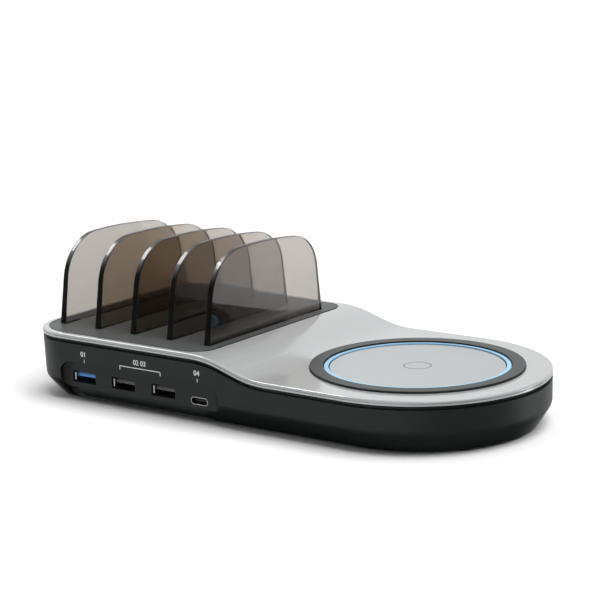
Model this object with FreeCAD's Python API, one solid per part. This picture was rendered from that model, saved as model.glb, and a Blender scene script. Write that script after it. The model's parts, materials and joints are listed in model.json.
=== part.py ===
import FreeCAD, Part
import math
import os

from FreeCAD import Vector

# Charging station with a rack of lift-out dividers at one end and a round wireless pad at the other.
# Millimetres. +X runs from the rack to the pad, -Y is the port side, +Z is up.
# The origin is on the table, under the middle of the body.

# Body as a whole
body_length = 225.0
body_width = 111.0
rack_corner_r = 21.0
raised_height = 29.2
pad_height = 22.0
ramp_start = 93.4
ramp_angle = 17.5
ramp_bend_r = 50.0

# Lower tub
floor_t = 2.2
wall_t = 2.2
wall_draft = 0.8
chamfer_height = 8.0
chamfer_side = 7.5
chamfer_end = 5.2
turn_r = 5.0
turn_steps = 5
gap_height = 1.8
gap_depth = 1.5
seat_gap = 0.1

# Top cover
cover_band = 2.1
cover_edge_r = 0.7
stripe_drop = 1.0
stripe_width = 0.35
stripe_depth = 0.35

# Deck plate, set into the cover
deck_margin = 2.9
deck_length = 94.6
deck_corner_r = 9.0
deck_t = 1.2
deck_floor_t = 2.2
deck_floor_lap = 3.0
deck_seam = 0.35
deck_play = 0.45

# Dividers
divider_count = 5
divider_rack_gap = 7.5
divider_ramp_gap = 6.3
divider_depth = 81.8
divider_height = 36.9
divider_root_t = 3.2
divider_tip_t = 2.6
divider_front_lean = 8.7
divider_back_lean = 7.1
divider_front_r = 21.0
divider_back_r = 17.0
divider_edge_r = 0.5
crown_fall = 2.7
crown_rise = 2.5
tab_width = 14.0
tab_t = 2.4
tab_depth = 6.0
tab_spread = 44.0
tab_clearance = 0.25
socket_wall = 1.2

# Wireless pad
pad_margin = 10.9
ring_width = 5.55
ring_proud = 1.0
ring_seat = 1.4
ring_edge_r = 0.25
ring_clearance = 0.15
ledge_width = 3.8
ledge_t = 2.2
ledge_collar = 2.0
light_gap = 0.4
light_width = 1.85
light_proud = 0.75
light_fall = 0.55
light_flange = 1.4
light_flange_t = 1.9
disc_gap = 0.35
disc_t = 1.8
disc_proud = 0.7
disc_edge_r = 0.3
carrier_floor_t = 1.6
carrier_depth = 4.6
carrier_wall_t = 2.4
carrier_ear_r = 4.0
carrier_ear_reach = 2.9
ferrite_t = 1.6
ferrite_gap = 0.4
coil_t = 1.8
coil_inner_r = 11.0
coil_wire = 1.5
coil_pitch = 2.1
coil_margin = 1.5
light_board_t = 1.0
light_board_gap = 0.15
light_chip = (2.0, 1.4, 0.7)
light_chip_count = 8

# Ports and the bay they sit in
port_first = 32.2
port_pitch = 22.1
usb_a_count = 3
usb_c_step = 19.3
bay_depth = 3.0
bay_height = 17.2
bay_end = 12.2
bay_corner_r = 7.0
bay_blend_r = 4.5
bay_bulge = 1.2
bay_sink = 0.3
bay_fade = 10.0
bay_lap = 0.1
panel_t = 2.2
panel_front_t = 0.9
usb_a_cut = (12.9, 5.1)
usb_a_cut_r = 0.4
usb_a_shell = (13.1, 5.7, 14.0)
usb_a_shell_r = 0.6
usb_a_sheet = 0.3
usb_a_lift = 0.5
usb_a_back_t = 2.0
usb_a_tongue = (11.1, 2.0, 10.5)
usb_a_tongue_rise = 0.7
usb_c_shell = (9.0, 3.3, 8.0)
usb_c_sheet = 0.28
usb_c_lift = 0.05
usb_c_side_flat = 0.1
usb_c_recess = 0.1
usb_c_back_t = 1.5
usb_c_tongue = (6.7, 0.75, 4.8)
port_clearance = 0.15

# Power inlet in the back wall
inlet_from_rack = 50.0
inlet_body = (9.0, 12.0, 11.0)
inlet_collar_r = 4.2
inlet_bore_r = 3.0
inlet_bore_depth = 9.5
inlet_pin_r = 1.0
inlet_pin_length = 8.0
inlet_recess = 0.3

# Boards, their parts and the lead between them
board_rise = 6.8
board_t = 1.6
board_boss_gap = 0.8
board_side_gap = 4.5
board_back_gap = 9.5
board_front_gap = 2.5
board_corner_r = 2.0
board_screw_inset = 4.0
board_screw_behind_ports = 5.0
pad_board = (44.0, 36.0)
pad_chip = (7.0, 7.0, 1.2)
pad_chip_pitch = 12.0
inductor = (12.0, 12.0, 7.0)
inductor_r = 1.5
inductor_pitch = 18.0
inductor_count = 2
capacitor_r = 4.0
capacitor_height = 11.0
capacitor_pitch = 10.0
capacitor_count = 3
chip = (9.0, 6.0, 1.5)
chip_pitch = 16.0
chip_count = 3
part_row_gap = 14.0
plug = (7.0, 8.0, 4.2)
plug_inset = 1.0
lead_start = 31.5
lead_y = 14.0
lead_sway = 6.0
lead_r = 1.5

# Screws, their bosses and the feet
boss_from_rack = 15.0
boss_from_side = 19.5
pad_boss_angle = 34.0
cover_boss_r = 3.5
tub_boss_r = 4.7
boss_join = 11.0
boss_gap = 0.4
screw_r = 1.5
screw_grip = 0.05
screw_clearance = 0.2
screw_head_r = 2.9
screw_head_t = 2.0
screw_seat = 3.5
screw_reach = 6.0
foot_r = 5.0
foot_proud = 1.0
foot_sink = 1.0
foot_edge_r = 0.4
foot_clearance = 0.15
post_r = 3.0
small_screw_r = 1.2
small_screw_reach = 4.6
small_head_r = 2.4
small_head_t = 1.5

# Room that cutting shapes run past the faces they cut, and the length below which points are the same
past = 10.0
tiny = 1e-4

# Levels and places worked out from the sizes above
tub_bottom = foot_proud
floor_top = tub_bottom + floor_t
chamfer_top = tub_bottom + chamfer_height
raised_top = tub_bottom + raised_height
pad_top = tub_bottom + pad_height
rack_end = -body_length / 2
half_width = body_width / 2
pad_x = body_length / 2 - half_width

deck_left = rack_end + deck_margin
deck_right = deck_left + deck_length
deck_half = half_width - deck_margin
deck_bottom = raised_top - deck_t
deck_floor_bottom = deck_bottom - deck_floor_t
divider_pitch = (deck_length - divider_rack_gap - divider_ramp_gap) / (divider_count - 1)
divider_xs = [deck_left + divider_rack_gap + i * divider_pitch for i in range(divider_count)]
tab_ys = (-tab_spread / 2, tab_spread / 2)

ring_outer_r = half_width - pad_margin
ring_inner_r = ring_outer_r - ring_width
ring_bottom = pad_top - ring_seat
well_r = ring_outer_r + ring_clearance
ledge_inner_r = well_r - ledge_width
ledge_bottom = ring_bottom - ledge_t
light_outer_r = ring_inner_r - light_gap
light_inner_r = light_outer_r - light_width
light_flange_r = light_outer_r + light_flange
light_bottom = ring_bottom - light_flange_t
light_top = pad_top + light_proud
disc_r = light_inner_r - disc_gap
disc_bottom = pad_top - disc_t
disc_top = pad_top + disc_proud
carrier_bottom = light_bottom - carrier_depth
carrier_floor_top = carrier_bottom + carrier_floor_t
carrier_wall_r = disc_r - disc_gap
bowl_r = carrier_wall_r - carrier_wall_t
coil_turns = int((bowl_r - coil_margin - coil_wire - coil_inner_r) / coil_pitch)
ear_r = light_flange_r + carrier_ear_reach
ear_spots = [(pad_x, -ear_r), (pad_x, ear_r), (pad_x - ear_r, 0)]

panel_face = -(half_width - bay_depth)
panel_back = panel_face + panel_t
usb_a_xs = [rack_end + port_first + i * port_pitch for i in range(usb_a_count)]
usb_c_x = usb_a_xs[-1] + usb_c_step
usb_a_front = panel_face + panel_front_t + port_clearance
usb_c_front = panel_face + usb_c_recess
bay_left = usb_a_xs[0] - bay_end
bay_right = usb_c_x + bay_end
bay_top = tub_bottom + bay_height
bay_toe = chamfer_side - bay_depth
bay_toe_top = tub_bottom + chamfer_height * bay_toe / (chamfer_side - wall_draft)

boss_x = rack_end + boss_from_rack
boss_y = half_width - boss_from_side
pad_boss_r = light_flange_r + boss_gap + cover_boss_r
pad_boss_x = pad_x + pad_boss_r * math.cos(math.radians(pad_boss_angle))
pad_boss_y = pad_boss_r * math.sin(math.radians(pad_boss_angle))
boss_spots = [(boss_x, -boss_y), (boss_x, boss_y), (pad_boss_x, -pad_boss_y), (pad_boss_x, pad_boss_y)]
boss_top = tub_bottom + boss_join
screw_seat_z = tub_bottom + screw_seat

board_top = tub_bottom + board_rise
board_bottom = board_top - board_t
board_left = boss_x + tub_boss_r + board_boss_gap
board_right = usb_c_x + usb_c_shell[0] / 2 + board_side_gap
board_front = panel_back + board_front_gap
board_back = half_width - board_back_gap
port_row_back = panel_back + usb_a_shell[2] + board_screw_behind_ports
board_spots = [(x, y) for x in (board_left + board_screw_inset, board_right - board_screw_inset)
               for y in (port_row_back, board_back - board_screw_inset)]
pad_board_left = pad_x - pad_board[0] / 2
pad_screw_x = pad_x + pad_board[0] / 2 - board_screw_inset
pad_screw_y = pad_board[1] / 2 - board_screw_inset
pad_spots = [(pad_screw_x, -pad_screw_y), (pad_screw_x, pad_screw_y)]
usb_a_z = board_top + usb_a_lift + usb_a_shell[1] / 2
usb_c_z = board_top + usb_c_lift + usb_c_shell[1] / 2
inlet_x = rack_end + inlet_from_rack
inlet_z = board_top + inlet_body[2] / 2
inner_slope = (chamfer_side - wall_draft) / (chamfer_top - floor_top)
inner_wall = half_width - wall_draft - wall_t
inlet_back = inner_wall - inner_slope * max(chamfer_top - board_top, 0) - port_clearance
inlet_mouth = half_width - wall_draft - inlet_recess
part_row = port_row_back + part_row_gap


# Basic shapes

def block(x0, x1, y0, y1, z0, z1):
    return Part.makeBox(x1 - x0, y1 - y0, z1 - z0, Vector(x0, y0, z0))


def slab(size, x, y, z):
    return block(x - size[0] / 2, x + size[0] / 2, y - size[1] / 2, y + size[1] / 2, z, z + size[2])


def column(x, y, z0, z1, r):
    return Part.makeCylinder(r, z1 - z0, Vector(x, y, z0))


def rod(x, z, y0, y1, r):
    return Part.makeCylinder(r, y1 - y0, Vector(x, y0, z), Vector(0, 1, 0))


def ring(z0, z1, r0, r1):
    return column(pad_x, 0, z0, z1, r1).cut(column(pad_x, 0, z0 - past, z1 + past, r0))


def line(p, q):
    return Part.LineSegment(p, q).toShape()


def arc(p, q, r):
    return Part.Arc(p, q, r).toShape()


def corner(centre, r, a0, a1, z):
    points = [Vector(centre[0] + r * math.cos(math.radians(a)), centre[1] + r * math.sin(math.radians(a)), z)
              for a in (a0, (a0 + a1) / 2, a1)]
    return arc(*points)


def join_corners(corners):
    # straight sides between the arcs, in order, back to the first
    edges = []
    for this, following in zip(corners, corners[1:] + corners[:1]):
        edges.append(this)
        start = this.lastVertex(True).Point
        end = following.firstVertex(True).Point
        if start.distanceToPoint(end) > tiny:
            edges.append(line(start, end))
    return Part.Wire(edges)


def plate_face(x0, x1, y0, y1, r_left, r_right, z):
    return Part.Face(join_corners([
        corner((x1 - r_right, y0 + r_right), r_right, 270, 360, z),
        corner((x1 - r_right, y1 - r_right), r_right, 0, 90, z),
        corner((x0 + r_left, y1 - r_left), r_left, 90, 180, z),
        corner((x0 + r_left, y0 + r_left), r_left, 180, 270, z)]))


def plate(x0, x1, y0, y1, r, z0, z1):
    return plate_face(x0, x1, y0, y1, r, r, z0).extrude(Vector(0, 0, z1 - z0))


def bar(x, z, width, height, r, y0, y1):
    # bar with rounded corners that runs along Y
    face = plate_face(-width / 2, width / 2, -height / 2, height / 2, r, r, 0)
    solid = face.extrude(Vector(0, 0, y0 - y1))
    solid.rotate(Vector(0, 0, 0), Vector(1, 0, 0), 90)
    solid.translate(Vector(x, y0, z))
    return solid


# Outline and ramp of the body

def body_outline(inset, z, end_shift=0.0):
    half = half_width - inset
    left = rack_end + inset
    r = rack_corner_r - inset
    end_x = pad_x + end_shift
    return join_corners([
        corner((end_x, 0), half, 270, 450, z),
        corner((left + r, half - r), r, 90, 180, z),
        corner((left + r, r - half), r, 180, 270, z)])


def body_prism(inset):
    return Part.Face(body_outline(inset, -past)).extrude(Vector(0, 0, raised_top + 2 * past))


def under_ramp(drop):
    # everything below the cover's top line lowered by drop: flat, S-shaped ramp, flat
    high = raised_top - drop
    low = pad_top - drop
    y = -half_width - past
    fall = high - low
    turn = min(math.radians(ramp_angle), math.acos(1 - fall / (2 * ramp_bend_r)))
    sag = ramp_bend_r * (1 - math.cos(turn))
    reach = ramp_bend_r * math.sin(turn)
    half_sag = ramp_bend_r * (1 - math.cos(turn / 2))
    half_reach = ramp_bend_r * math.sin(turn / 2)
    x1 = rack_end + ramp_start
    x2 = x1 + 2 * reach + (fall - 2 * sag) / math.tan(turn)
    start = Vector(rack_end - past, y, high)
    end = Vector(body_length / 2 + past, y, low)
    top_bend = [Vector(x1, y, high), Vector(x1 + half_reach, y, high - half_sag),
                Vector(x1 + reach, y, high - sag)]
    foot_bend = [Vector(x2 - reach, y, low + sag), Vector(x2 - half_reach, y, low + half_sag),
                 Vector(x2, y, low)]
    under_end = Vector(end.x, y, -past)
    under_start = Vector(start.x, y, -past)
    edges = [line(start, top_bend[0]), arc(*top_bend)]
    if top_bend[-1].distanceToPoint(foot_bend[0]) > tiny:
        edges.append(line(top_bend[-1], foot_bend[0]))
    edges += [arc(*foot_bend), line(foot_bend[-1], end), line(end, under_end),
              line(under_end, under_start), line(under_start, start)]
    return Part.Face(Part.Wire(edges)).extrude(Vector(0, -2 * y, 0))


# Tub

def end_shift(inset):
    # the pad end stands upright where the sides lean, and is undercut less than they are
    if inset <= wall_draft:
        return inset
    share = (inset - wall_draft) / (chamfer_side - wall_draft)
    return wall_draft + share * (chamfer_side - chamfer_end - wall_draft)


def tub_profile():
    # insets and heights up the tub's side: undercut, rounded turn, leaning wall
    foot = Vector(chamfer_side, tub_bottom, 0)
    turn = Vector(wall_draft, chamfer_top, 0)
    top = Vector(0, raised_top, 0)
    down = (foot - turn).normalize()
    up = (top - turn).normalize()
    half = down.getAngle(up) / 2
    centre = turn + (down + up).normalize() * (turn_r / math.sin(half))
    spoke = turn + down * (turn_r / math.tan(half)) - centre
    points = [foot]
    for k in range(turn_steps + 1):
        a = (2 * half - math.pi) * k / turn_steps
        points.append(centre + Vector(spoke.x * math.cos(a) - spoke.y * math.sin(a),
                                      spoke.x * math.sin(a) + spoke.y * math.cos(a), 0))
    return points + [top]


def tub_form():
    return Part.makeLoft([body_outline(p.x, p.y, end_shift(p.x)) for p in tub_profile()], True, True)


def tub_cavity():
    return Part.makeLoft([body_outline(chamfer_side + wall_t, floor_top, end_shift(chamfer_side)),
                          body_outline(wall_draft + wall_t, chamfer_top, end_shift(wall_draft)),
                          body_outline(wall_t, raised_top)], True, True)


def port_bay():
    # shallow pocket for the plugs, with blended ends, open through the lower edge
    plan = plate(bay_left, bay_right, -half_width - past, panel_face, bay_blend_r, -past, bay_top)
    front = bar((bay_left + bay_right) / 2, 0, bay_right - bay_left, 2 * bay_top, bay_corner_r,
                -half_width - past, panel_face)
    return plan.common(front)


def bay_lower_edge():
    # swollen lower edge of the port panel, which sinks into the undercut at both ends
    sections = []
    for x, bulge in ((bay_left, -bay_sink), (bay_left + bay_fade, bay_bulge),
                     (bay_right - bay_fade, bay_bulge), (bay_right, -bay_sink)):
        top = Vector(x, panel_face + bay_lap, bay_toe_top + bay_lap)
        foot = Vector(x, panel_face + bay_toe + 2 * bay_lap, tub_bottom)
        outward = Vector(0, foot.z - top.z, top.y - foot.y).normalize()
        middle = (top + foot) * 0.5 + outward * bulge
        back = Vector(0, panel_t / 2, 0)
        sections.append(Part.Wire([arc(top, middle, foot), line(foot, foot + back),
                                   line(foot + back, top + back), line(top + back, top)]))
    return Part.makeLoft(sections, True, True)


def port_cuts():
    y0 = panel_face - past
    y1 = panel_back + past
    cuts = [bar(x, usb_a_z, usb_a_cut[0], usb_a_cut[1], usb_a_cut_r, y0, y1) for x in usb_a_xs]
    cuts += [bar(x, usb_a_z, usb_a_shell[0] + 2 * port_clearance, usb_a_shell[1] + 2 * port_clearance,
                 usb_a_shell_r, panel_face + panel_front_t, y1) for x in usb_a_xs]
    height = usb_c_shell[1] + 2 * port_clearance
    width = usb_c_shell[0] + 2 * port_clearance
    cuts.append(bar(usb_c_x, usb_c_z, width, height, (height - usb_c_side_flat) / 2, y0, y1))
    cuts.append(rod(inlet_x, inlet_z, inlet_back, half_width + past, inlet_collar_r + port_clearance))
    return cuts


def lower_tub():
    form = tub_form()
    wall = form.common(under_ramp(cover_band + gap_height))
    lip = body_prism(gap_depth).common(under_ramp(cover_band + seat_gap))
    lip = lip.cut(block(rack_end - past, -rack_end + past, -half_width - past, half_width + past,
                        -2 * past, chamfer_top))
    panel = block(bay_left - panel_t, bay_right + panel_t, -half_width - past, panel_back,
                  tub_bottom, bay_top + panel_t)
    cavity = tub_cavity().cut(panel)
    tub = wall.fuse(lip).cut(cavity).cut(port_bay()).fuse(bay_lower_edge())
    bosses = [column(x, y, tub_bottom, boss_top, tub_boss_r) for x, y in boss_spots]
    posts = [column(x, y, tub_bottom, board_bottom, post_r) for x, y in board_spots + pad_spots]
    stands = [column(x, y, tub_bottom, carrier_bottom, post_r) for x, y in ear_spots]
    tub = tub.fuse([piece.common(form) for piece in bosses + posts + stands])
    holes = port_cuts()
    for x, y in boss_spots:
        holes.append(column(x, y, tub_bottom - past, tub_bottom + foot_sink, foot_r + foot_clearance))
        holes.append(column(x, y, tub_bottom - past, screw_seat_z, screw_head_r + screw_clearance))
        holes.append(column(x, y, tub_bottom, boss_top + past, screw_r + screw_clearance))
    pilot = small_screw_r + screw_grip
    depth = small_screw_reach - board_t + screw_clearance
    for x, y in board_spots + pad_spots:
        holes.append(column(x, y, max(board_bottom - depth, floor_top), board_bottom + past, pilot))
    depth = small_screw_reach - carrier_floor_t + screw_clearance
    for x, y in ear_spots:
        holes.append(column(x, y, carrier_bottom - depth, carrier_bottom + past, pilot))
    for hole in holes:
        tub = tub.cut(hole)
    return tub.removeSplitter()


def feet():
    solids = []
    for x, y in boss_spots:
        foot = column(x, y, tub_bottom - foot_proud, tub_bottom + foot_sink, foot_r)
        lower = [e for e in foot.Edges if e.BoundBox.ZMax < tub_bottom - foot_proud / 2]
        solids.append(foot.makeFillet(foot_edge_r, lower))
    return Part.makeCompound(solids)


def cover_screws():
    solids = []
    for x, y in boss_spots:
        head = column(x, y, screw_seat_z - screw_head_t, screw_seat_z, screw_head_r)
        shank = column(x, y, screw_seat_z, boss_top + screw_reach, screw_r)
        solids.append(head.fuse(shank).removeSplitter())
    return Part.makeCompound(solids)


# Cover and deck

def on_outline(edge):
    middle = edge.valueAt((edge.FirstParameter + edge.LastParameter) / 2)
    return Part.Vertex(middle.x, middle.y, 0).distToShape(body_outline(0, 0))[0] < seat_gap


def cover_skin():
    skin = body_prism(0).common(under_ramp(0)).cut(under_ramp(cover_band)).removeSplitter()
    lowered = under_ramp(cover_band / 2)
    rim = [e for e in skin.Edges if on_outline(e) and e.Length > cover_band * 1.5
           and not lowered.isInside(e.valueAt((e.FirstParameter + e.LastParameter) / 2), seat_gap, True)]
    skin = skin.makeFillet(cover_edge_r, rim)
    stripe = body_prism(-past).cut(body_prism(stripe_depth))
    stripe = stripe.common(under_ramp(stripe_drop)).cut(under_ramp(stripe_drop + stripe_width))
    return skin.cut(stripe)


def tab_slots(z0, z1, grow):
    dx = tab_t / 2 + grow
    dy = tab_width / 2 + grow
    return [block(x - dx, x + dx, y - dy, y + dy, z0, z1) for x in divider_xs for y in tab_ys]


def deck_face(grow, lap, z):
    return plate_face(deck_left - grow, deck_right + grow + lap, -deck_half - grow, deck_half + grow,
                      rack_corner_r - deck_margin + grow, deck_corner_r + grow, z)


def top_cover():
    floor_grow = deck_seam + seat_gap
    deck_floor = deck_face(floor_grow, deck_floor_lap, deck_floor_bottom).extrude(Vector(0, 0, deck_floor_t))
    socket_bottom = raised_top - tab_depth - tab_clearance - socket_wall
    sockets = tab_slots(socket_bottom, deck_bottom, tab_clearance + socket_wall)
    ledge = ring(ledge_bottom, pad_top - cover_band / 2, ledge_inner_r, well_r + ledge_collar)
    bosses = [column(x, y, boss_top, deck_bottom if x < deck_right else ring_bottom, cover_boss_r)
              for x, y in boss_spots]
    cover = cover_skin().cut(deck_face(deck_seam, 0, deck_bottom).extrude(Vector(0, 0, deck_t + past)))
    cover = cover.cut(column(pad_x, 0, ring_bottom - past, pad_top + past, ledge_inner_r))
    cover = cover.fuse([deck_floor, ledge] + sockets + bosses)
    cover = cover.cut(column(pad_x, 0, ring_bottom, pad_top + past, well_r))
    for slot in tab_slots(raised_top - tab_depth - tab_clearance, raised_top + past, tab_clearance):
        cover = cover.cut(slot)
    for x, y in boss_spots:
        cover = cover.cut(column(x, y, boss_top - past, boss_top + screw_reach + screw_clearance,
                                 screw_r + screw_grip))
    return cover.removeSplitter()


def deck_plate():
    deck = deck_face(-deck_play, 0, deck_bottom).extrude(Vector(0, 0, deck_t))
    for slot in tab_slots(deck_bottom - past, raised_top + past, tab_clearance):
        deck = deck.cut(slot)
    return deck


# Dividers

def divider(x):
    base = raised_top
    front_top = Vector(0, -divider_depth / 2 + divider_height * math.tan(math.radians(divider_front_lean)),
                       base + divider_height)
    back_height = divider_height - crown_fall
    back_top = Vector(0, divider_depth / 2 - back_height * math.tan(math.radians(divider_back_lean)),
                      base + back_height)
    front_foot = Vector(0, -divider_depth / 2, base)
    back_foot = Vector(0, divider_depth / 2, base)
    crown = (front_top + back_top) * 0.5 + Vector(0, 0, crown_rise)
    outline = Part.Wire([line(front_foot, front_top), arc(front_top, crown, back_top),
                         line(back_top, back_foot), line(back_foot, front_foot)])
    sheet = Part.Face(outline).extrude(Vector(divider_root_t, 0, 0))
    for side, r in ((-1, divider_front_r), (1, divider_back_r)):
        top = [e for e in sheet.Edges if e.BoundBox.XLength > divider_root_t / 2
               and e.BoundBox.ZMin > base + back_height / 2 and e.BoundBox.YMin * side > 0]
        sheet = sheet.makeFillet(r, top[:1])
    sheet.translate(Vector(-divider_root_t / 2, 0, 0))
    # the plate thins evenly from its root to its tip
    root = divider_root_t / 2
    tip = divider_tip_t / 2
    y = -divider_depth
    tip_z = base + divider_height + crown_rise
    taper = Part.makePolygon([Vector(-root, y, base), Vector(root, y, base), Vector(tip, y, tip_z),
                              Vector(-tip, y, tip_z), Vector(-root, y, base)])
    plate_solid = sheet.common(Part.Face(taper).extrude(Vector(0, -2 * y, 0)))
    rims = [e for e in plate_solid.Edges
            if e.BoundBox.XLength < tip and e.BoundBox.ZMax > base + divider_edge_r]
    plate_solid = plate_solid.makeFillet(divider_edge_r, rims)
    half_tab = tab_width / 2
    tabs = [block(-tab_t / 2, tab_t / 2, ty - half_tab, ty + half_tab, base - tab_depth, base + tab_t)
            for ty in tab_ys]
    solid = plate_solid.fuse(tabs).removeSplitter()
    solid.translate(Vector(x, 0, 0))
    return solid


# Wireless pad

def turned(points):
    # solid of revolution about the pad's axis from (radius, height) points
    wire = Part.makePolygon([Vector(pad_x + r, 0, z) for r, z in points + points[:1]])
    return Part.Face(wire).revolve(Vector(pad_x, 0, 0), Vector(0, 0, 1), 360)


def round_top(solid, z, r):
    circles = [e for e in solid.Edges if e.isClosed() and e.BoundBox.ZMin > z - seat_gap]
    return solid.makeFillet(r, circles)


def pad_grip_ring():
    top = pad_top + ring_proud
    return round_top(ring(ring_bottom, top, ring_inner_r, ring_outer_r), top, ring_edge_r)


def light_ring():
    # the top falls outward to a groove beside the grip ring
    flange_top = ring_bottom
    rim = light_top - light_fall
    return turned([(light_inner_r, light_bottom), (light_flange_r, light_bottom),
                   (light_flange_r, flange_top), (light_outer_r, flange_top),
                   (light_outer_r, rim), (light_inner_r, light_top)])


def pad_disc():
    return round_top(column(pad_x, 0, disc_bottom, disc_top, disc_r), disc_top, disc_edge_r)


def coil_carrier():
    bowl = turned([(0, carrier_bottom), (light_flange_r, carrier_bottom), (light_flange_r, light_bottom),
                   (light_outer_r, light_bottom), (light_outer_r, carrier_floor_top),
                   (carrier_wall_r, carrier_floor_top), (carrier_wall_r, disc_bottom),
                   (bowl_r, disc_bottom), (bowl_r, carrier_floor_top), (0, carrier_floor_top)])
    ears = [column(x, y, carrier_bottom, carrier_floor_top, carrier_ear_r) for x, y in ear_spots]
    carrier = bowl.fuse(ears)
    for x, y in ear_spots:
        carrier = carrier.cut(column(x, y, carrier_bottom - past, carrier_floor_top + past,
                                     small_screw_r + screw_clearance))
    return carrier.removeSplitter()


def ferrite_plate():
    return column(pad_x, 0, carrier_floor_top, carrier_floor_top + ferrite_t, bowl_r - ferrite_gap)


def spiral_side(start_r, z):
    # half turns that grow by half a pitch each, centred to either side of the pad's axis
    edges = []
    for k in range(2 * coil_turns):
        side = 1 if k % 2 == 0 else -1
        r0 = start_r + k * coil_pitch / 2
        r1 = r0 + coil_pitch / 2
        middle = Vector(pad_x + side * (r0 - r1) / 2, side * (r0 + r1) / 2, z)
        edges.append(arc(Vector(pad_x + side * r0, 0, z), middle, Vector(pad_x - side * r1, 0, z)))
    return edges


def charging_coil():
    z = carrier_floor_top + ferrite_t
    inner = spiral_side(coil_inner_r, z)
    outer = spiral_side(coil_inner_r + coil_wire, z)
    start = line(inner[0].firstVertex(True).Point, outer[0].firstVertex(True).Point)
    end = line(inner[-1].lastVertex(True).Point, outer[-1].lastVertex(True).Point)
    wire = Part.Wire(Part.__sortEdges__(inner + [end] + outer + [start]))
    return Part.Face(wire).extrude(Vector(0, 0, coil_t))


def light_board():
    return ring(carrier_floor_top, carrier_floor_top + light_board_t,
                carrier_wall_r + light_board_gap, light_outer_r - light_board_gap)


def light_chips():
    r = (carrier_wall_r + light_outer_r) / 2
    solids = []
    for k in range(light_chip_count):
        chip_solid = slab((light_chip[1], light_chip[0], light_chip[2]), pad_x + r, 0,
                          carrier_floor_top + light_board_t)
        chip_solid.rotate(Vector(pad_x, 0, 0), Vector(0, 0, 1), 360 * (k + 0.5) / light_chip_count)
        solids.append(chip_solid)
    return Part.makeCompound(solids)


def small_screws(spots, seat):
    solids = []
    for x, y in spots:
        head = column(x, y, seat, seat + small_head_t, small_head_r)
        shank = column(x, y, seat - small_screw_reach, seat, small_screw_r)
        solids.append(head.fuse(shank).removeSplitter())
    return Part.makeCompound(solids)


# Boards, sockets and inlet

def drilled(board, spots):
    for x, y in spots:
        board = board.cut(column(x, y, board_bottom - past, board_top + past, small_screw_r + screw_clearance))
    return board


def main_board():
    return drilled(plate(board_left, board_right, board_front, board_back, board_corner_r,
                         board_bottom, board_top), board_spots)


def wireless_board():
    half = pad_board[1] / 2
    return drilled(plate(pad_board_left, pad_board_left + pad_board[0], -half, half, board_corner_r,
                         board_bottom, board_top), pad_spots)


def usb_a_socket(x):
    width, height, depth = usb_a_shell
    front = usb_a_front
    outer = bar(x, usb_a_z, width, height, usb_a_shell_r, front, front + depth)
    inner_w = width - 2 * usb_a_sheet
    inner_h = height - 2 * usb_a_sheet
    hollow = bar(x, usb_a_z, inner_w, inner_h, usb_a_shell_r - usb_a_sheet,
                 front - past, front + depth - usb_a_sheet)
    foot = block(x - width / 2, x + width / 2, front + depth / 2, front + depth,
                 board_top, usb_a_z - inner_h / 2)
    return outer.fuse(foot).cut(hollow).removeSplitter()


def usb_a_insert(x):
    width, height, depth = usb_a_shell
    back = usb_a_front + depth - usb_a_sheet
    inner_w = width - 2 * usb_a_sheet
    inner_h = height - 2 * usb_a_sheet
    stop = bar(x, usb_a_z, inner_w, inner_h, usb_a_shell_r - usb_a_sheet, back - usb_a_back_t, back)
    z = usb_a_z + usb_a_tongue_rise
    tongue = bar(x, z, usb_a_tongue[0], usb_a_tongue[1], usb_a_cut_r,
                 back - usb_a_back_t - usb_a_tongue[2], back)
    return stop.fuse(tongue).removeSplitter()


def usb_c_socket():
    width, height, depth = usb_c_shell
    front = usb_c_front
    outer = bar(usb_c_x, usb_c_z, width, height, (height - usb_c_side_flat) / 2, front, front + depth)
    inner_h = height - 2 * usb_c_sheet
    hollow = bar(usb_c_x, usb_c_z, width - 2 * usb_c_sheet, inner_h, (inner_h - usb_c_side_flat) / 2,
                 front - past, front + depth - usb_c_sheet)
    foot = block(usb_c_x - width / 2 + height / 2, usb_c_x + width / 2 - height / 2,
                 board_front, front + depth, board_top, usb_c_z - inner_h / 2)
    return outer.fuse(foot).cut(hollow).removeSplitter()


def usb_c_insert():
    width, height, depth = usb_c_shell
    back = usb_c_front + depth - usb_c_sheet
    inner_h = height - 2 * usb_c_sheet
    stop = bar(usb_c_x, usb_c_z, width - 2 * usb_c_sheet, inner_h, (inner_h - usb_c_side_flat) / 2,
               back - usb_c_back_t, back)
    tongue = bar(usb_c_x, usb_c_z, usb_c_tongue[0], usb_c_tongue[1], usb_c_tongue[1] / 3,
                 back - usb_c_back_t - usb_c_tongue[2], back)
    return stop.fuse(tongue).removeSplitter()


def power_inlet():
    width, depth, height = inlet_body
    front = inlet_back - depth
    body = block(inlet_x - width / 2, inlet_x + width / 2, front, inlet_back, board_top, board_top + height)
    collar = rod(inlet_x, inlet_z, inlet_back - depth / 2, inlet_mouth, inlet_collar_r)
    bore = rod(inlet_x, inlet_z, inlet_mouth - inlet_bore_depth, inlet_mouth + past, inlet_bore_r)
    return body.fuse(collar).cut(bore).removeSplitter()


def inlet_pin():
    root = inlet_mouth - inlet_bore_depth
    pin = rod(inlet_x, inlet_z, root, root + inlet_pin_length, inlet_pin_r)
    tip = [e for e in pin.Edges if e.BoundBox.YMin > root + inlet_pin_length / 2 and e.isClosed()]
    return pin.makeFillet(inlet_pin_r / 2, [e for e in tip if e.BoundBox.YLength < seat_gap])


def inductors():
    solids = []
    for k in range(inductor_count):
        x = board_right - inductor_pitch * (k + 1)
        solids.append(plate(x - inductor[0] / 2, x + inductor[0] / 2, part_row - inductor[1] / 2,
                            part_row + inductor[1] / 2, inductor_r, board_top, board_top + inductor[2]))
    return Part.makeCompound(solids)


def capacitors():
    return Part.makeCompound([column(board_left + part_row_gap + k * capacitor_pitch, part_row, board_top,
                                     board_top + capacitor_height, capacitor_r)
                              for k in range(capacitor_count)])


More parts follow.
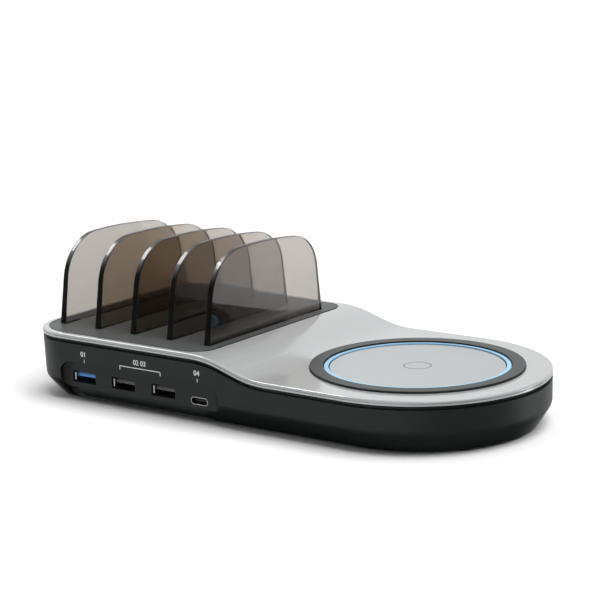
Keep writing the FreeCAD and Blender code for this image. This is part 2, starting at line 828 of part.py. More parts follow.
def controller_chips():
    y = part_row + part_row_gap
    return Part.makeCompound([slab(chip, board_left + part_row_gap + k * chip_pitch, y, board_top)
                              for k in range(chip_count)])


def pad_chips():
    return Part.makeCompound([slab(pad_chip, pad_x, side * pad_chip_pitch / 2, board_top) for side in (-1, 1)])


def lead_ends():
    z = board_top + plug[2] / 2
    start = Vector(board_left + lead_start, lead_y, z)
    end = Vector(pad_board_left + plug_inset, lead_y - lead_sway, z)
    return start, end


def lead_plugs():
    start, end = lead_ends()
    return Part.makeCompound([slab(plug, start.x - plug[0] / 2, start.y, board_top),
                              slab(plug, end.x + plug[0] / 2, end.y, board_top)])


def pad_lead():
    # two equal bends carry the lead sideways between its plugs
    start, end = lead_ends()
    middle = (start + end) * 0.5
    run = end.x - start.x
    sway = start.y - end.y
    r = (run * run + sway * sway) / (4 * sway)
    turn = math.asin(run / (2 * r)) / 2
    step = Vector(r * math.sin(turn), -r * (1 - math.cos(turn)), 0)
    path = Part.Wire([arc(start, start + step, middle), arc(middle, end - step, end)])
    section = Part.Wire(Part.makeCircle(lead_r, start, Vector(1, 0, 0)))
    return path.makePipeShell([section], True, False)


def all_parts():
    parts = {
        "lower_tub": lower_tub(),
        "top_cover": top_cover(),
        "deck_plate": deck_plate(),
        "pad_grip_ring": pad_grip_ring(),
        "light_ring": light_ring(),
        "pad_disc": pad_disc(),
        "coil_carrier": coil_carrier(),
        "ferrite_plate": ferrite_plate(),
        "charging_coil": charging_coil(),
        "light_board": light_board(),
        "light_chips": light_chips(),
        "carrier_screws": small_screws(ear_spots, carrier_floor_top),
        "main_board": main_board(),
        "board_screws": small_screws(board_spots + pad_spots, board_top),
        "usb_c_shell": usb_c_socket(),
        "usb_c_tongue": usb_c_insert(),
        "power_inlet": power_inlet(),
        "inlet_pin": inlet_pin(),
        "power_inductors": inductors(),
        "filter_capacitors": capacitors(),
        "controller_chips": controller_chips(),
        "pad_board": wireless_board(),
        "pad_chips": pad_chips(),
        "lead_plugs": lead_plugs(),
        "pad_lead": pad_lead(),
        "cover_screws": cover_screws(),
        "rubber_feet": feet(),
    }
    for k, x in enumerate(divider_xs, 1):
        parts[f"divider_{k}"] = divider(x)
    for k, x in enumerate(usb_a_xs, 1):
        parts[f"usb_a_shell_{k}"] = usb_a_socket(x)
        parts[f"usb_a_tongue_{k}"] = usb_a_insert(x)
    return parts


os.makedirs("parts", exist_ok=True)
for name, shape in all_parts().items():
    shape.exportStep(f"parts/{name}.step")
    state = "ok" if shape.isValid() else "INVALID"
    print(name, len(shape.Solids), "solid(s)", round(shape.Volume), "mm3", state)
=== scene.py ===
import json
import math

import bpy
from mathutils import Matrix, Vector


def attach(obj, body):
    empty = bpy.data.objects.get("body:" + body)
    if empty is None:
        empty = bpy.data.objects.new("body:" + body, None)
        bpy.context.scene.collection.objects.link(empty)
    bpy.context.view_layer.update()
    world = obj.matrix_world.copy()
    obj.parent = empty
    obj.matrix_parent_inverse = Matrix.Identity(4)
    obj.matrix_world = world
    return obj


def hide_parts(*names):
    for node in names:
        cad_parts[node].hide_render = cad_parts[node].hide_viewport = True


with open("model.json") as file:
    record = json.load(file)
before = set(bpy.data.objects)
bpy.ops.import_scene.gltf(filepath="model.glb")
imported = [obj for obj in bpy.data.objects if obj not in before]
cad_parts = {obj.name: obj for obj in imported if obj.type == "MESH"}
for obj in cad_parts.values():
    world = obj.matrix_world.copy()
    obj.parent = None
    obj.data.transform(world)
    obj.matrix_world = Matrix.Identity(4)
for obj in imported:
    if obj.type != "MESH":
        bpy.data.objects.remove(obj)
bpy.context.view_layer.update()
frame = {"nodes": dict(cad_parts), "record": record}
nodes = frame["nodes"]
mm = 0.001
print("frame:", len(nodes), "nodes")


# Shader building

class Flow:
    # a shader socket that takes part in plain arithmetic
    def __init__(self, tree, socket=None):
        self.tree = tree
        self.socket = socket

    def node(self, kind, settings=None, inputs=None, out=0):
        made = self.tree.nodes.new("ShaderNode" + kind)
        for name, value in (settings or {}).items():
            if name == "stops":
                setStops(made.color_ramp, value)
            else:
                setattr(made, name, value)
        for name, value in (inputs or {}).items():
            if isinstance(value, Flow):
                self.tree.links.new(value.socket, made.inputs[name])
            else:
                made.inputs[name].default_value = value
        return Flow(self.tree, made.outputs[out] if made.outputs else None)

    def maths(self, operation, *values):
        return self.node("Math", {"operation": operation}, dict(enumerate(values)))

    def __add__(self, other):
        return self.maths("ADD", self, other)

    def __sub__(self, other):
        return self.maths("SUBTRACT", self, other)

    def __rsub__(self, other):
        return self.maths("SUBTRACT", other, self)

    def __mul__(self, other):
        return self.maths("MULTIPLY", self, other)

    __radd__ = __add__
    __rmul__ = __mul__


def setStops(ramp, stops):
    # a new ramp has two elements
    for element, (place, value) in zip(ramp.elements, stops):
        element.position = place
        element.color = (value, value, value, 1.0)


def newMaterial(name):
    material = bpy.data.materials.new(name)
    material.use_nodes = True
    material.node_tree.nodes.clear()
    return material, Flow(material.node_tree)


noiseMiddle = 0.5


def noiseAt(flow, scale, detail=2.0, stretch=None):
    places = flow.node("TexCoord", out="Object")
    if stretch:
        places = flow.node("Mapping", {}, {"Vector": places, "Scale": stretch})
    return flow.node("TexNoise", {}, {"Vector": places, "Scale": scale, "Detail": detail, "Roughness": 0.6})


def swing(noise, spread):
    # a noise as a change about zero
    return (noise - noiseMiddle) * spread


mixSockets = {"mask": 0, "first": 6, "second": 7, "result": 2}  # where a Mix node has its colours


def blendColours(flow, mask, first, second):
    first, second = (c if isinstance(c, Flow) else (*c, 1.0) for c in (first, second))
    inputs = {mixSockets["mask"]: mask, mixSockets["first"]: first, mixSockets["second"]: second}
    return flow.node("Mix", {"data_type": "RGBA"}, inputs, mixSockets["result"])


def darkAndLight(colour, spread):
    return tuple(c * (1 - spread) for c in colour), tuple(c * (1 + spread) for c in colour)


def grainBump(flow, grain, strength, height):
    return flow.node("Bump", {}, {"Strength": strength, "Distance": height, "Height": grain})


def closeMaterial(flow, settings, volume=None):
    shader = flow.node("BsdfPrincipled", {}, settings)
    ends = {"Surface": shader}
    if volume is not None:
        ends["Volume"] = volume
    flow.node("OutputMaterial", {}, ends)


# Masks that follow the facing and the place on a piece, the same from every side; some of them place painted
# shade

masks = {
    "levelTop": (0.3, 0.7),
    "leftEndFacing": (0.05, 0.75),
    "leftEndAlong": (-84.0, -87.0),
    "leftFloorInward": (-54.0, -53.2),
    "leftFloorAlong": (-84.5, -90.0),
    "rightEndStart": (-12.0, -9.5),
    "rightEndStop": (0.0, -3.0),
    "rightEndFacing": (-0.05, -0.4),
    "tongueTop": (12.5, 11.7),
    "tongueFoot": (10.75, 10.95),
}


def rise(flow, value, start, end):
    # 0 up to the start, 1 from the end on
    return flow.node("MapRange", {}, {"Value": value, "From Min": start, "From Max": end})


def facing(flow, axis):
    # the surface normal's share along an axis
    return flow.node("SeparateXYZ", {}, {"Vector": flow.node("NewGeometry", out="Normal")}, axis)


def placeRise(flow, axis, span):
    # a span in millimetres of the shared frame
    place = flow.node("TexCoord", out="Object")
    along = flow.node("SeparateXYZ", {}, {"Vector": place}, axis)
    return rise(flow, along, *(edge * mm for edge in span))


def faceUp(flow):
    # 1 on level tops, 0 on upright walls, where the grip ring takes a painted shade
    return rise(flow, facing(flow, "Z"), *masks["levelTop"])


def clearOfPaintedBayShade(flow):
    # 0 in the rounded left end of the port bay, where the tub takes a painted shade, 1 elsewhere
    endWall = rise(flow, facing(flow, "X"), *masks["leftEndFacing"])
    corner = endWall * placeRise(flow, "X", masks["leftEndAlong"])
    bayFloor = placeRise(flow, "Y", masks["leftFloorInward"]) * placeRise(flow, "X", masks["leftFloorAlong"])
    return 1 - flow.maths("MAXIMUM", corner, bayFloor)


def bayRightEnd(flow):
    # 1 in the rounded right end of the port bay, 0 elsewhere
    inside = placeRise(flow, "X", masks["rightEndStart"]) * placeRise(flow, "X", masks["rightEndStop"])
    return inside * rise(flow, facing(flow, "X"), *masks["rightEndFacing"])


def paintedLitBandOnTongue(flow):
    # 1 along the open lower half of a wide socket's tongue, a painted lit band, 0 above and below it, where
    # the tongue takes painted shade
    return placeRise(flow, "Z", masks["tongueTop"]) * placeRise(flow, "Z", masks["tongueFoot"])


# Moulded plastic and rubber: cloudy tone, fine spark-eroded grain, and painted shade where a look gives one

def mouldedPlastic(name, look):
    material, flow = newMaterial(name)
    cloud = noiseAt(flow, look["cloudScale"])
    grain = noiseAt(flow, look["grainScale"], look["grainDetail"])
    rough = look["roughness"] + swing(cloud, look["roughSpread"])
    colour = blendColours(flow, cloud, look["dark"], look["light"])
    if look["dull"]:
        rough = rough + look["dull"](flow) * look["dullStep"]
    # painted shade: the colour goes to the dark one where the mask is 0
    if look["shade"]:
        lit, deep = look["shade"]
        colour = blendColours(flow, lit(flow), deep, colour)
    closeMaterial(flow, {
        "Base Color": colour,
        "Roughness": rough,
        "Specular IOR Level": look["shine"],
        "Normal": grainBump(flow, grain, look["grain"], look["grainHeight"]),
    })
    return material


def plasticLook(colour, roughness, grain=0.25, shade=None, dull=None, shine=0.5):
    # shade is a mask with the painted shade colour where it is 0, dull a mask of rougher places
    dark, light = darkAndLight(colour, 0.06)
    return {
        "dark": dark,
        "light": light,
        "shade": shade,
        "dull": dull,
        "dullStep": 0.5,
        "cloudScale": 38.0,
        "grainScale": 2600.0,
        "grainDetail": 3.0,
        "roughness": roughness,
        "roughSpread": 0.10,
        "shine": shine,
        "grain": grain,
        "grainHeight": 0.03 * mm,
    }


# Silver lacquer: metal flake under a satin clear coat

def silverLacquer(name, look):
    material, flow = newMaterial(name)
    flake = noiseAt(flow, look["flakeScale"], look["flakeDetail"])
    cloud = noiseAt(flow, look["cloudScale"])
    tone = flake * look["flakeShare"] + cloud * (1 - look["flakeShare"])
    closeMaterial(flow, {
        "Base Color": blendColours(flow, tone, look["dark"], look["light"]),
        "Metallic": look["metal"],
        "Roughness": look["roughness"] + swing(flake, look["roughSpread"]),
        "Coat Weight": look["coat"],
        "Coat Roughness": look["coatRoughness"],
        "Normal": grainBump(flow, flake, look["grain"], look["grainHeight"]),
    })
    return material


def lacquerLook(colour, roughness, metal):
    dark, light = darkAndLight(colour, 0.035)
    return {
        "dark": dark,
        "light": light,
        "flakeScale": 5200.0,
        "flakeDetail": 4.0,
        "flakeShare": 0.6,
        "cloudScale": 30.0,
        "metal": metal,
        "roughness": roughness,
        "roughSpread": 0.08,
        "coat": 0.30,
        "coatRoughness": 0.10,
        "grain": 0.12,
        "grainHeight": 0.01 * mm,
    }


# Plated and bare metal: drawing marks, long where the stretch is small

def platedMetal(name, look):
    material, flow = newMaterial(name)
    drawn = noiseAt(flow, look["scale"], look["detail"], look["stretch"])
    closeMaterial(flow, {
        "Base Color": blendColours(flow, drawn, look["dark"], look["light"]),
        "Metallic": 1.0,
        "Roughness": look["roughness"] + swing(drawn, look["roughSpread"]),
        "Normal": grainBump(flow, drawn, look["grain"], look["grainHeight"]),
    })
    return material


def metalLook(colour, roughness, scale, stretch):
    dark, light = darkAndLight(colour, 0.08)
    return {
        "dark": dark,
        "light": light,
        "scale": scale,
        "detail": 3.0,
        "stretch": stretch,
        "roughness": roughness,
        "roughSpread": 0.12,
        "grain": 0.15,
        "grainHeight": 0.01 * mm,
    }


# Smoked acrylic: clear body that takes light off with depth, polished faces and duller rims,
# a coat on the shoulders of the rims, and a warmer tone on the front of the middle dividers

smoke = {
    "ior": 1.38,
    "roughness": 0.02,
    "smear": 0.025,
    "smearScale": 60.0,
    "smearDetail": 3.0,
    "rim": 0.22,
    "rimFacing": (0.8, 0.5),
    "shoulderLow": (0.4, 0.65),
    "shoulderHigh": (0.97, 0.87),
    "coatIor": 2.15,
    "coatRoughness": 0.14,
    "tint": (0.30, 0.24, 0.19),
    "density": 362.0,
    "clear": (1.0, 1.0, 1.0),
    "warm": (0.92, 0.83, 0.71),
    "warmLeft": (-96.0, -88.0),
    "warmRight": (-33.0, -50.0),
    "warmBack": (26.0, 2.0),
}


def smokedAcrylic():
    material, flow = newMaterial("smokedAcrylic")
    smear = noiseAt(flow, smoke["smearScale"], smoke["smearDetail"])
    rim = rise(flow, flow.maths("ABSOLUTE", facing(flow, "X")), *smoke["rimFacing"])
    upward = facing(flow, "Z")
    shoulder = rim * rise(flow, upward, *smoke["shoulderLow"]) * rise(flow, upward, *smoke["shoulderHigh"])
    middle = placeRise(flow, "X", smoke["warmLeft"]) * placeRise(flow, "X", smoke["warmRight"])
    warmth = middle * placeRise(flow, "Y", smoke["warmBack"])
    volume = flow.node("VolumeAbsorption", {}, {"Color": (*smoke["tint"], 1.0), "Density": smoke["density"]})
    closeMaterial(flow, {
        "Base Color": blendColours(flow, warmth, smoke["clear"], smoke["warm"]),
        "Roughness": smoke["roughness"] + smear * smoke["smear"] + rim * smoke["rim"],
        "IOR": smoke["ior"],
        "Coat Weight": shoulder,
        "Coat Roughness": smoke["coatRoughness"],
        "Coat IOR": smoke["coatIor"],
        "Transmission Weight": 1.0,
    }, volume)
    return material


# Milky light guide with a faint glow of its own

glow = {
    "colour": (0.30, 0.50, 0.66),
    "toneSpread": 0.05,
    "milkScale": 400.0,
    "roughness": 0.3,
    "roughStep": 0.1,
    "dim": (0.24, 0.55, 0.88),
    "light": (0.32, 0.64, 0.96),
    "strength": 0.215,
}


def lightGuide():
    material, flow = newMaterial("lightGuide")
    milk = noiseAt(flow, glow["milkScale"])
    dark, light = darkAndLight(glow["colour"], glow["toneSpread"])
    closeMaterial(flow, {
        "Base Color": blendColours(flow, milk, dark, light),
        "Roughness": glow["roughness"] + milk * glow["roughStep"],
        "Emission Color": blendColours(flow, milk, glow["dim"], glow["light"]),
        "Emission Strength": glow["strength"],
    })
    return material


# Circuit board: tracks under green solder mask

board = {
    "mask": (0.010, 0.090, 0.035),
    "track": (0.020, 0.160, 0.060),
    "trackScale": 420.0,
    "trackStops": [(0.42, 0.0), (0.46, 1.0)],
    "roughness": 0.32,
    "roughStep": 0.1,
    "relief": 0.3,
    "reliefHeight": 0.03 * mm,
}


def solderMask():
    material, flow = newMaterial("solderMask")
    places = flow.node("TexCoord", out="Object")
    cells = flow.node("TexVoronoi", {"distance": "MANHATTAN", "feature": "F1"},
                      {"Vector": places, "Scale": board["trackScale"]})
    tracks = flow.node("ValToRGB", {"stops": board["trackStops"]}, {"Fac": cells})
    closeMaterial(flow, {
        "Base Color": blendColours(flow, tracks, board["mask"], board["track"]),
        "Roughness": board["roughness"] + tracks * board["roughStep"],
        "Normal": grainBump(flow, tracks, board["relief"], board["reliefHeight"]),
    })
    return material


finishes = {
    # the tub goes near black in the rounded left end of the port bay: painted shade of the recess
    "tub_plastic": mouldedPlastic("tubPlastic", plasticLook(
        (0.0125, 0.0182, 0.0165), 0.42, shade=(clearOfPaintedBayShade, (0.0010, 0.0014, 0.0012)), dull=bayRightEnd)),
    "deck_grey": mouldedPlastic("deckPlastic", plasticLook((0.077, 0.082, 0.082), 0.45, 0.4)),
    # the grip ring's upright walls are painted near black, a painted shade; its top keeps the grey rubber
    # colour
    "grip_rubber": mouldedPlastic("gripRubber", plasticLook(
        (0.045, 0.051, 0.051), 0.42, 0.5, shade=(faceUp, (0.005, 0.005, 0.005)))),
    "foot_rubber": mouldedPlastic("footRubber", plasticLook((0.012, 0.012, 0.012), 0.75, 0.6)),
    "inner_plastic": mouldedPlastic("innerPlastic", plasticLook((0.014, 0.014, 0.015), 0.5)),
    "ferrite_grey": mouldedPlastic("ferriteGrey", plasticLook((0.06, 0.06, 0.065), 0.7, 0.8)),
    "chip_white": mouldedPlastic("chipWhite", plasticLook((0.70, 0.69, 0.65), 0.45)),
    "chip_black": mouldedPlastic("chipBlack", plasticLook((0.012, 0.012, 0.014), 0.55, 0.6)),
    # socket tongues: a painted light band low on the front, with painted shade above and below it
    "tongue_dark": mouldedPlastic("tongueDark", plasticLook(
        (0.125, 0.128, 0.125), 0.4, shade=(paintedLitBandOnTongue, (0.014, 0.014, 0.014)))),
    "tongue_blue": mouldedPlastic("tongueBlue", plasticLook(
        (0.11, 0.33, 0.80), 0.35, shade=(paintedLitBandOnTongue, (0.012, 0.050, 0.19)))),
    "lead_cover": mouldedPlastic("leadCover", plasticLook((0.014, 0.014, 0.014), 0.6)),
    "cover_silver": silverLacquer("coverSilver", lacquerLook((0.575, 0.59, 0.595), 0.17, 0.36)),
    "disc_silver": silverLacquer("discSilver", lacquerLook((0.545, 0.57, 0.585), 0.34, 0.6)),
    "divider_smoke": smokedAcrylic(),
    "light_guide": lightGuide(),
    "board_green": solderMask(),
    "coil_copper": platedMetal("coilCopper", metalLook((0.72, 0.34, 0.18), 0.35, 900.0, (1.0, 1.0, 4.0))),
    "screw_steel": platedMetal("screwSteel", metalLook((0.50, 0.50, 0.51), 0.32, 1500.0, (1.0, 1.0, 0.2))),
    "socket_metal": platedMetal("socketMetal", metalLook((0.66, 0.67, 0.68), 0.28, 1200.0, (1.0, 0.2, 1.0))),
    "pin_metal": platedMetal("pinMetal", metalLook((0.72, 0.71, 0.68), 0.25, 1800.0, (1.0, 0.2, 1.0))),
    "capacitor_can": platedMetal("capacitorCan", metalLook((0.70, 0.71, 0.72), 0.3, 900.0, (1.0, 1.0, 0.1))),
}

for entry in frame["record"]["subparts"]:
    target = nodes[entry["node"]]
    target.data.materials.clear()
    target.data.materials.append(finishes[entry["material_slot"]])
print("finishes:", len(finishes))


# Added pieces

boxFaces = [(0, 3, 2, 1), (4, 5, 6, 7), (0, 1, 5, 4), (1, 2, 6, 5), (2, 3, 7, 6), (3, 0, 4, 7)]


def boxPoints(low, high):
    (x0, y0, z0), (x1, y1, z1) = low, high
    return [(x, y, z) for z in (z0, z1) for x, y in ((x0, y0), (x1, y0), (x1, y1), (x0, y1))]


def joinShapes(shapes):
    points, faces = [], []
    for outline, loops in shapes:
        first = len(points)
        points += outline
        faces += [tuple(first + i for i in loop) for loop in loops]
    return points, faces


def addPiece(name, shapes, material, thick=None, standsFor=None):
    # shapes in millimetres, each a list of points and a list of faces
    points, faces = joinShapes(shapes)
    mesh = bpy.data.meshes.new(name)
    mesh.from_pydata([Vector(p) * mm for p in points], [], faces)
    mesh.materials.append(material)
    piece = bpy.data.objects.new(name, mesh)
    bpy.context.scene.collection.objects.link(piece)
    if thick:
        film = piece.modifiers.new("film", "SOLIDIFY")
        film.thickness = thick * mm
    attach(piece, "base")
    if standsFor:
        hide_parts(standsFor)


def nodeBox(name):
    # a node's own extent in millimetres
    spots = [v.co / mm for v in nodes[name].data.vertices]
    return [min(axis) for axis in zip(*spots)], [max(axis) for axis in zip(*spots)]


# Folded side lips inside the wide sockets, and the contacts under their tongues

lips = {
    "sheet": 0.3,
    "inward": 0.45,
    "slant": 0.26,
    "reach": 3.0,
    "halfHeight": 1.6,
}
contacts = {
    "offsets": (-3.5, -1.0, 1.0, 3.5),
    "halfWidth": 0.5,
    "setBack": 0.5,
    "reach": 7.5,
    "thick": 0.05,
}


def socketLips(name):
    # each lip's front slants inward from the side wall
    low, high = nodeBox(name)
    middle = (low[2] + high[2]) / 2
    y0, y1, y2 = low[1], low[1] + lips["slant"], low[1] + lips["reach"]
    for wall, side in ((low[0], 1), (high[0], -1)):
        x0 = wall + side * lips["sheet"]
        x1 = x0 + side * lips["inward"]
        outline = [(x0, y0), (x1, y1), (x1, y2), (x0, y2)][::side]
        yield [(x, y, middle + half) for half in (-lips["halfHeight"], lips["halfHeight"])
               for x, y in outline], boxFaces


def tongueContacts(name):
    low, high = nodeBox(name)
    x = (low[0] + high[0]) / 2
    y0 = low[1] + contacts["setBack"]
    foot = min(v.co.z for v in nodes[name].data.vertices if v.co.y < y0 * mm) / mm
    for offset in contacts["offsets"]:
        yield boxPoints((x + offset - contacts["halfWidth"], y0, foot - contacts["thick"]),
                        (x + offset + contacts["halfWidth"], y0 + contacts["reach"], foot)), boxFaces


socketCount = 3
for k in range(1, socketCount + 1):
    addPiece(f"shellLips{k}", socketLips(f"usb_a_shell_{k}"), finishes["socket_metal"])
    addPiece(f"tongueContacts{k}", tongueContacts(f"usb_a_tongue_{k}"), finishes["pin_metal"])
print("sockets: lips and contacts")


# Light guide, disc and a near-black ring in the seam between them, turned, with the tops at the photograph's
# heights; the ring is painted shade of the seam

pad = {
    "steps": 180,
    "gap": 0.35,
    "width": 1.85,
    "flangeHeight": 1.9,
    "outerDrop": 0.39,
    "innerDrop": 0.20,
    "edge": 0.12,
    "discDrop": 0.68,
    "discEdge": 0.25,
    "discArc": 4,
    "seamShadePlay": 0.02,
    "seamShadeDrop": 0.04,
    "seamShadeHeight": 0.6,
}


def turned(profile, centre, closed):
    # a closed profile gives a ring, an open one a disc with a flat top and foot
    steps, count = pad["steps"], len(profile)
    points = []
    for i in range(steps):
        turn = 2 * math.pi * i / steps
        points += [(centre[0] + r * math.cos(turn), centre[1] + r * math.sin(turn), z) for r, z in profile]
    faces = []
    for i in range(steps):
        here, there = i * count, (i + 1) % steps * count
        for j in range(count if closed else count - 1):
            k = (j + 1) % count
            faces.append((here + j, there + j, there + k, here + k))
    if not closed:
        faces.append(tuple(i * count for i in reversed(range(steps))))
        faces.append(tuple(i * count + count - 1 for i in range(steps)))
    return points, faces


def guideProfile(discRadius):
    low, high = nodeBox("light_ring")
    flange = (high[0] - low[0]) / 2
    inner = discRadius + pad["gap"]
    outer = inner + pad["width"]
    shoulder = low[2] + pad["flangeHeight"]
    outerTop, innerTop = high[2] - pad["outerDrop"], high[2] - pad["innerDrop"]
    edge = pad["edge"]
    return [(inner, low[2]), (flange, low[2]), (flange, shoulder), (outer, shoulder),
            (outer, outerTop - edge), (outer - edge, outerTop),
            (inner + edge, innerTop), (inner, innerTop - edge)]


def discProfile(radius, foot, top):
    edge, steps = pad["discEdge"], pad["discArc"]
    turns = [math.pi / 2 * i / steps for i in range(steps + 1)]
    rounded = [(radius - edge + edge * math.cos(a), top - edge + edge * math.sin(a)) for a in turns]
    return [(radius, foot), *rounded]


# a near-black ring that fills the seam just under the disc's top: painted shade of the gap
def seamShadeProfile(radius, top):
    inner, outer = radius + pad["seamShadePlay"], radius + pad["gap"] - pad["seamShadePlay"]
    high = top - pad["seamShadeDrop"]
    low = high - pad["seamShadeHeight"]
    return [(inner, low), (outer, low), (outer, high), (inner, high)]


discLow, discHigh = nodeBox("pad_disc")
discCentre = [(a + b) / 2 for a, b in zip(discLow, discHigh)]
discRadius = (discHigh[0] - discLow[0]) / 2
discTop = discHigh[2] - pad["discDrop"]
seamShadeBlack = mouldedPlastic("seamShadeBlack", plasticLook((0.006, 0.006, 0.006), 0.8, shine=0.02))
guideShape = turned(guideProfile(discRadius), discCentre, True)
discShape = turned(discProfile(discRadius, discLow[2], discTop), discCentre, False)
seamShadeShape = turned(seamShadeProfile(discRadius, discTop), discCentre, True)
addPiece("guideRing", [guideShape], finishes["light_guide"], standsFor="light_ring")
addPiece("padFace", [discShape], finishes["disc_silver"], standsFor="pad_disc")
addPiece("padSeamShade", [seamShadeShape], seamShadeBlack)
print("pad: light guide, disc and seal")


# Prints: ticks, a bracket and plain numerals above the sockets, a plain ring on the disc

prints = {
    "line": 0.33,
    "lift": 0.04,
    "film": 0.06,
    "lookFrom": -100.0,
    "ticks": [(-77.6, 18.4, 20.0), (-15.4, 18.4, 20.0)],
    "bracket": (-57.4, -35.2, 18.4, 20.2),
    "numerals": [("01", -77.9, 22.2), ("02 03", -46.3, 22.4), ("04", -15.6, 22.2)],
    "size": 3.1,
    "bold": 0.04,
}
discRing = {
    "outer": 6.0,
    "inner": 5.3,
    "steps": 96,
    "lift": 0.02,
    "film": 0.04,
}
ink = {
    "white": ((0.76, 0.77, 0.77), (0.90, 0.91, 0.91)),
    "grey": ((0.20, 0.205, 0.21), (0.26, 0.265, 0.27)),
    "wearScale": 900.0,
    "wearDetail": 3.0,
    "roughness": 0.5,
    "roughStep": 0.1,
}


def strip(x0, x1, z0, z1):
    return [(x0, z0), (x1, z0), (x1, z1), (x0, z1)], [(0, 1, 2, 3)]


def printedOutlines():
    half = prints["line"] / 2
    shapes = [strip(x - half, x + half, z0, z1) for x, z0, z1 in prints["ticks"]]
    left, right, low, high = prints["bracket"]
    shapes.append(strip(left - half, left + half, low, high))
    shapes.append(strip(right - half, right + half, low, high))
    shapes.append(strip(left - half, right + half, high - 2 * half, high))
    return shapes


def numeralOutline(text, x, z):
    curve = bpy.data.curves.new("numeral", "FONT")
    curve.body = text
    curve.size = prints["size"]
    curve.offset = prints["bold"]
    curve.align_x = "CENTER"
    curve.align_y = "CENTER"
    holder = bpy.data.objects.new("numeral", curve)
    mesh = bpy.data.meshes.new_from_object(holder)
    points = [(x + v.co.x, z + v.co.y) for v in mesh.vertices]
    faces = [tuple(f.vertices) for f in mesh.polygons]
    bpy.data.objects.remove(holder)
    return points, faces


def onWall(x, z):
    # a spot just off the outer wall, found by looking along +Y
    start = Vector((x, prints["lookFrom"], z)) * mm
    _, place, _, _ = nodes["lower_tub"].ray_cast(start, Vector((0.0, 1.0, 0.0)))
    return x, place.y / mm - prints["lift"], z


def ringOutline():
    x, y, _ = discCentre
    steps = discRing["steps"]
    points = []
    for i in range(steps):
        turn = 2 * math.pi * i / steps
        for r in (discRing["outer"], discRing["inner"]):
            points.append((x + r * math.cos(turn), y + r * math.sin(turn), discTop + discRing["lift"]))
    faces = [(2 * i, (2 * i + 2) % (2 * steps), (2 * i + 3) % (2 * steps), 2 * i + 1) for i in range(steps)]
    return points, faces


def printInk(name, dark, light):
    material, flow = newMaterial(name)
    wear = noiseAt(flow, ink["wearScale"], ink["wearDetail"])
    closeMaterial(flow, {
        "Base Color": blendColours(flow, wear, dark, light),
        "Roughness": ink["roughness"] + wear * ink["roughStep"],
    })
    return material


whiteInk = printInk("whiteInk", *ink["white"])
greyInk = printInk("greyInk", *ink["grey"])
flat = printedOutlines() + [numeralOutline(*numeral) for numeral in prints["numerals"]]
wrapped = [([onWall(x, z) for x, z in points], faces) for points, faces in flat]
addPiece("wallPrints", wrapped, whiteInk, prints["film"])
addPiece("discRing", [ringOutline()], greyInk, discRing["film"])
print("prints: on the wall and the disc")


# Floor and light

studio = {
    "floorSize": 30.0,
    "floorTone": (0.94, 0.94, 0.94),
    "floorSpread": 0.01,
    "floorCloud": 3.0,
    "floorRoughness": 0.9,
    "floorShine": 0.1,
    "front": 0.65,
    "back": 0.86,
    "frontToBack": (-0.7, 0.5),
    "underside": (-0.65, -0.3),
    "patches": [
        {"axis": (0.95, -0.10, -0.20), "edge": (0.55, 0.92), "level": 0.10},
        {"axis": (0.50, 0.70, 0.50), "edge": (0.78, 0.95), "level": 0.15},
        {"axis": (0.63, 0.75, -0.17), "edge": (0.970, 0.992), "level": 2.40},
        {"axis": (0.40, 0.87, -0.27), "edge": (0.970, 0.992), "level": 0.35},
        {"axis": (0.76, -0.60, -0.22), "edge": (0.85, 0.97), "level": 0.30},
        {"axis": (-0.62, -0.77, 0.15), "edge": (0.90, 0.985), "level": 0.30},
        {"axis": (0.00, 0.97, 0.25), "edge": (0.80, 0.95), "level": 0.70},
        {"axis": (0.00, -0.80, 0.60), "edge": (0.70, 0.85), "level": 0.25},
    ],
    "sunFrom": (0.35, 0.10, 1.0),
    "sunPower": 2.5,
    "sunAngle": 50.0,
}


def pictureFloor():
    mesh = bpy.data.meshes.new("studioFloor")
    half = studio["floorSize"] / 2
    corners = [(-half, -half, 0), (half, -half, 0), (half, half, 0), (-half, half, 0)]
    mesh.from_pydata(corners, [], [(0, 1, 2, 3)])
    floor = bpy.data.objects.new("studioFloor", mesh)
    bpy.context.scene.collection.objects.link(floor)
    material, flow = newMaterial("studioFloor")
    cloud = noiseAt(flow, studio["floorCloud"])
    dark, light = darkAndLight(studio["floorTone"], studio["floorSpread"])
    closeMaterial(flow, {
        "Base Color": blendColours(flow, cloud, dark, light),
        "Roughness": studio["floorRoughness"],
        "Specular IOR Level": studio["floorShine"],
    })
    mesh.materials.append(material)
    floor.visible_glossy = False


def softWorld():
    # a large pale surround, bright behind and dim in front, with dark and bright cards
    world = bpy.data.worlds.new("studio")
    world.use_nodes = True
    world.node_tree.nodes.clear()
    bpy.context.scene.world = world
    flow = Flow(world.node_tree)
    toward = flow.node("TexCoord", out="Generated")

    def fade(axis, start, end, low, high):
        share = flow.node("VectorMath", {"operation": "DOT_PRODUCT"}, {0: toward, 1: axis}, "Value")
        return flow.node("MapRange", {"interpolation_type": "SMOOTHSTEP"},
                         {"Value": share, "From Min": start, "From Max": end, "To Min": low, "To Max": high})

    strength = fade((0.0, 1.0, 0.0), *studio["frontToBack"], studio["front"], studio["back"])
    for patch in studio["patches"]:
        strength = strength * fade(patch["axis"], *patch["edge"], 1.0, patch["level"])
    strength = strength * fade((0.0, 0.0, 1.0), *studio["underside"], 0.0, 1.0)
    surround = flow.node("Background", {}, {"Color": (1.0, 1.0, 1.0, 1.0), "Strength": strength})
    flow.node("OutputWorld", {}, {"Surface": surround})


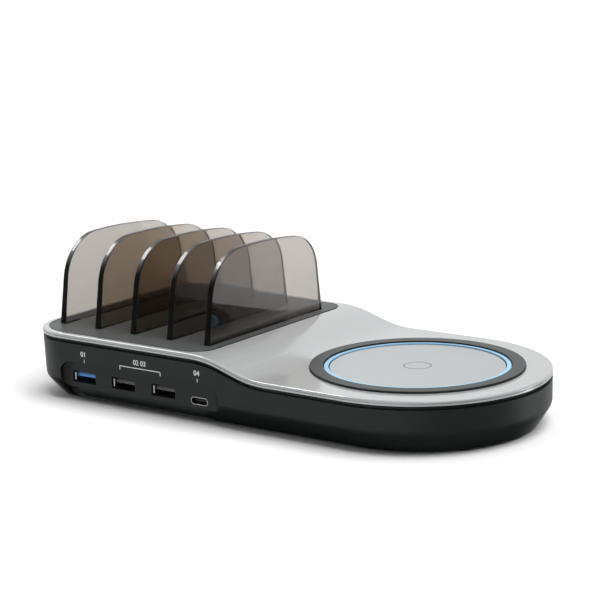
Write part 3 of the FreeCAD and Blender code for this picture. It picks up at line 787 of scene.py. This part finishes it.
# boxes that are seen in edges only: the cover's front lip and the rims of the rack
softBoxes = {
    "bandBox": {"at": (-0.75, -0.20, 1.26), "size": (0.32, 0.25), "power": 3.0},
    "rimBox": {"at": (-1.03, -0.03, 1.16), "size": (0.75, 0.24), "power": 1.9},
}


def placeLamp(name, lamp, place):
    # every lamp looks at the origin
    holder = bpy.data.objects.new(name, lamp)
    holder.location = place
    holder.rotation_euler = (-Vector(place)).to_track_quat("-Z", "Y").to_euler()
    bpy.context.scene.collection.objects.link(holder)
    return holder


def addLamps():
    sun = bpy.data.lights.new("wideSun", "SUN")
    sun.energy = studio["sunPower"]
    sun.angle = math.radians(studio["sunAngle"])
    wide = placeLamp("wideSun", sun, studio["sunFrom"])
    wide.visible_glossy = False
    for name, box in softBoxes.items():
        lamp = bpy.data.lights.new(name, "AREA")
        lamp.shape = "RECTANGLE"
        lamp.size, lamp.size_y = box["size"]
        lamp.energy = box["power"]
        glint = placeLamp(name, lamp, box["at"])
        glint.visible_diffuse = False


pictureFloor()
softWorld()
addLamps()
bpy.context.scene.view_settings.view_transform = "Standard"
print("studio: floor, surround and lamps")


# Camera at the photograph's place

view = {
    "place": (484.56 * mm, -668.71 * mm, 227.68 * mm),
    "azimuth": 36.049,
    "elevation": 12.516,
    "roll": -1.321,
    "lens": 118.908,
    "sensor": 36.0,
    "clipStart": 0.01,
}


def addCamera():
    a, e, r = (math.radians(view[k]) for k in ("azimuth", "elevation", "roll"))
    back = Vector((math.sin(a) * math.cos(e), -math.cos(a) * math.cos(e), math.sin(e)))
    right = Vector((math.cos(a), math.sin(a), 0.0))
    up = back.cross(right)
    across = right * math.cos(r) + up * math.sin(r)
    upright = up * math.cos(r) - right * math.sin(r)
    lens = bpy.data.cameras.new("photoCamera")
    lens.lens = view["lens"]
    lens.sensor_width = view["sensor"]
    lens.clip_start = view["clipStart"]
    camera = bpy.data.objects.new("photoCamera", lens)
    turn = Matrix((across, upright, back)).transposed().to_4x4()
    camera.matrix_world = Matrix.Translation(view["place"]) @ turn
    bpy.context.scene.collection.objects.link(camera)
    bpy.context.scene.camera = camera


addCamera()
print("camera: set")
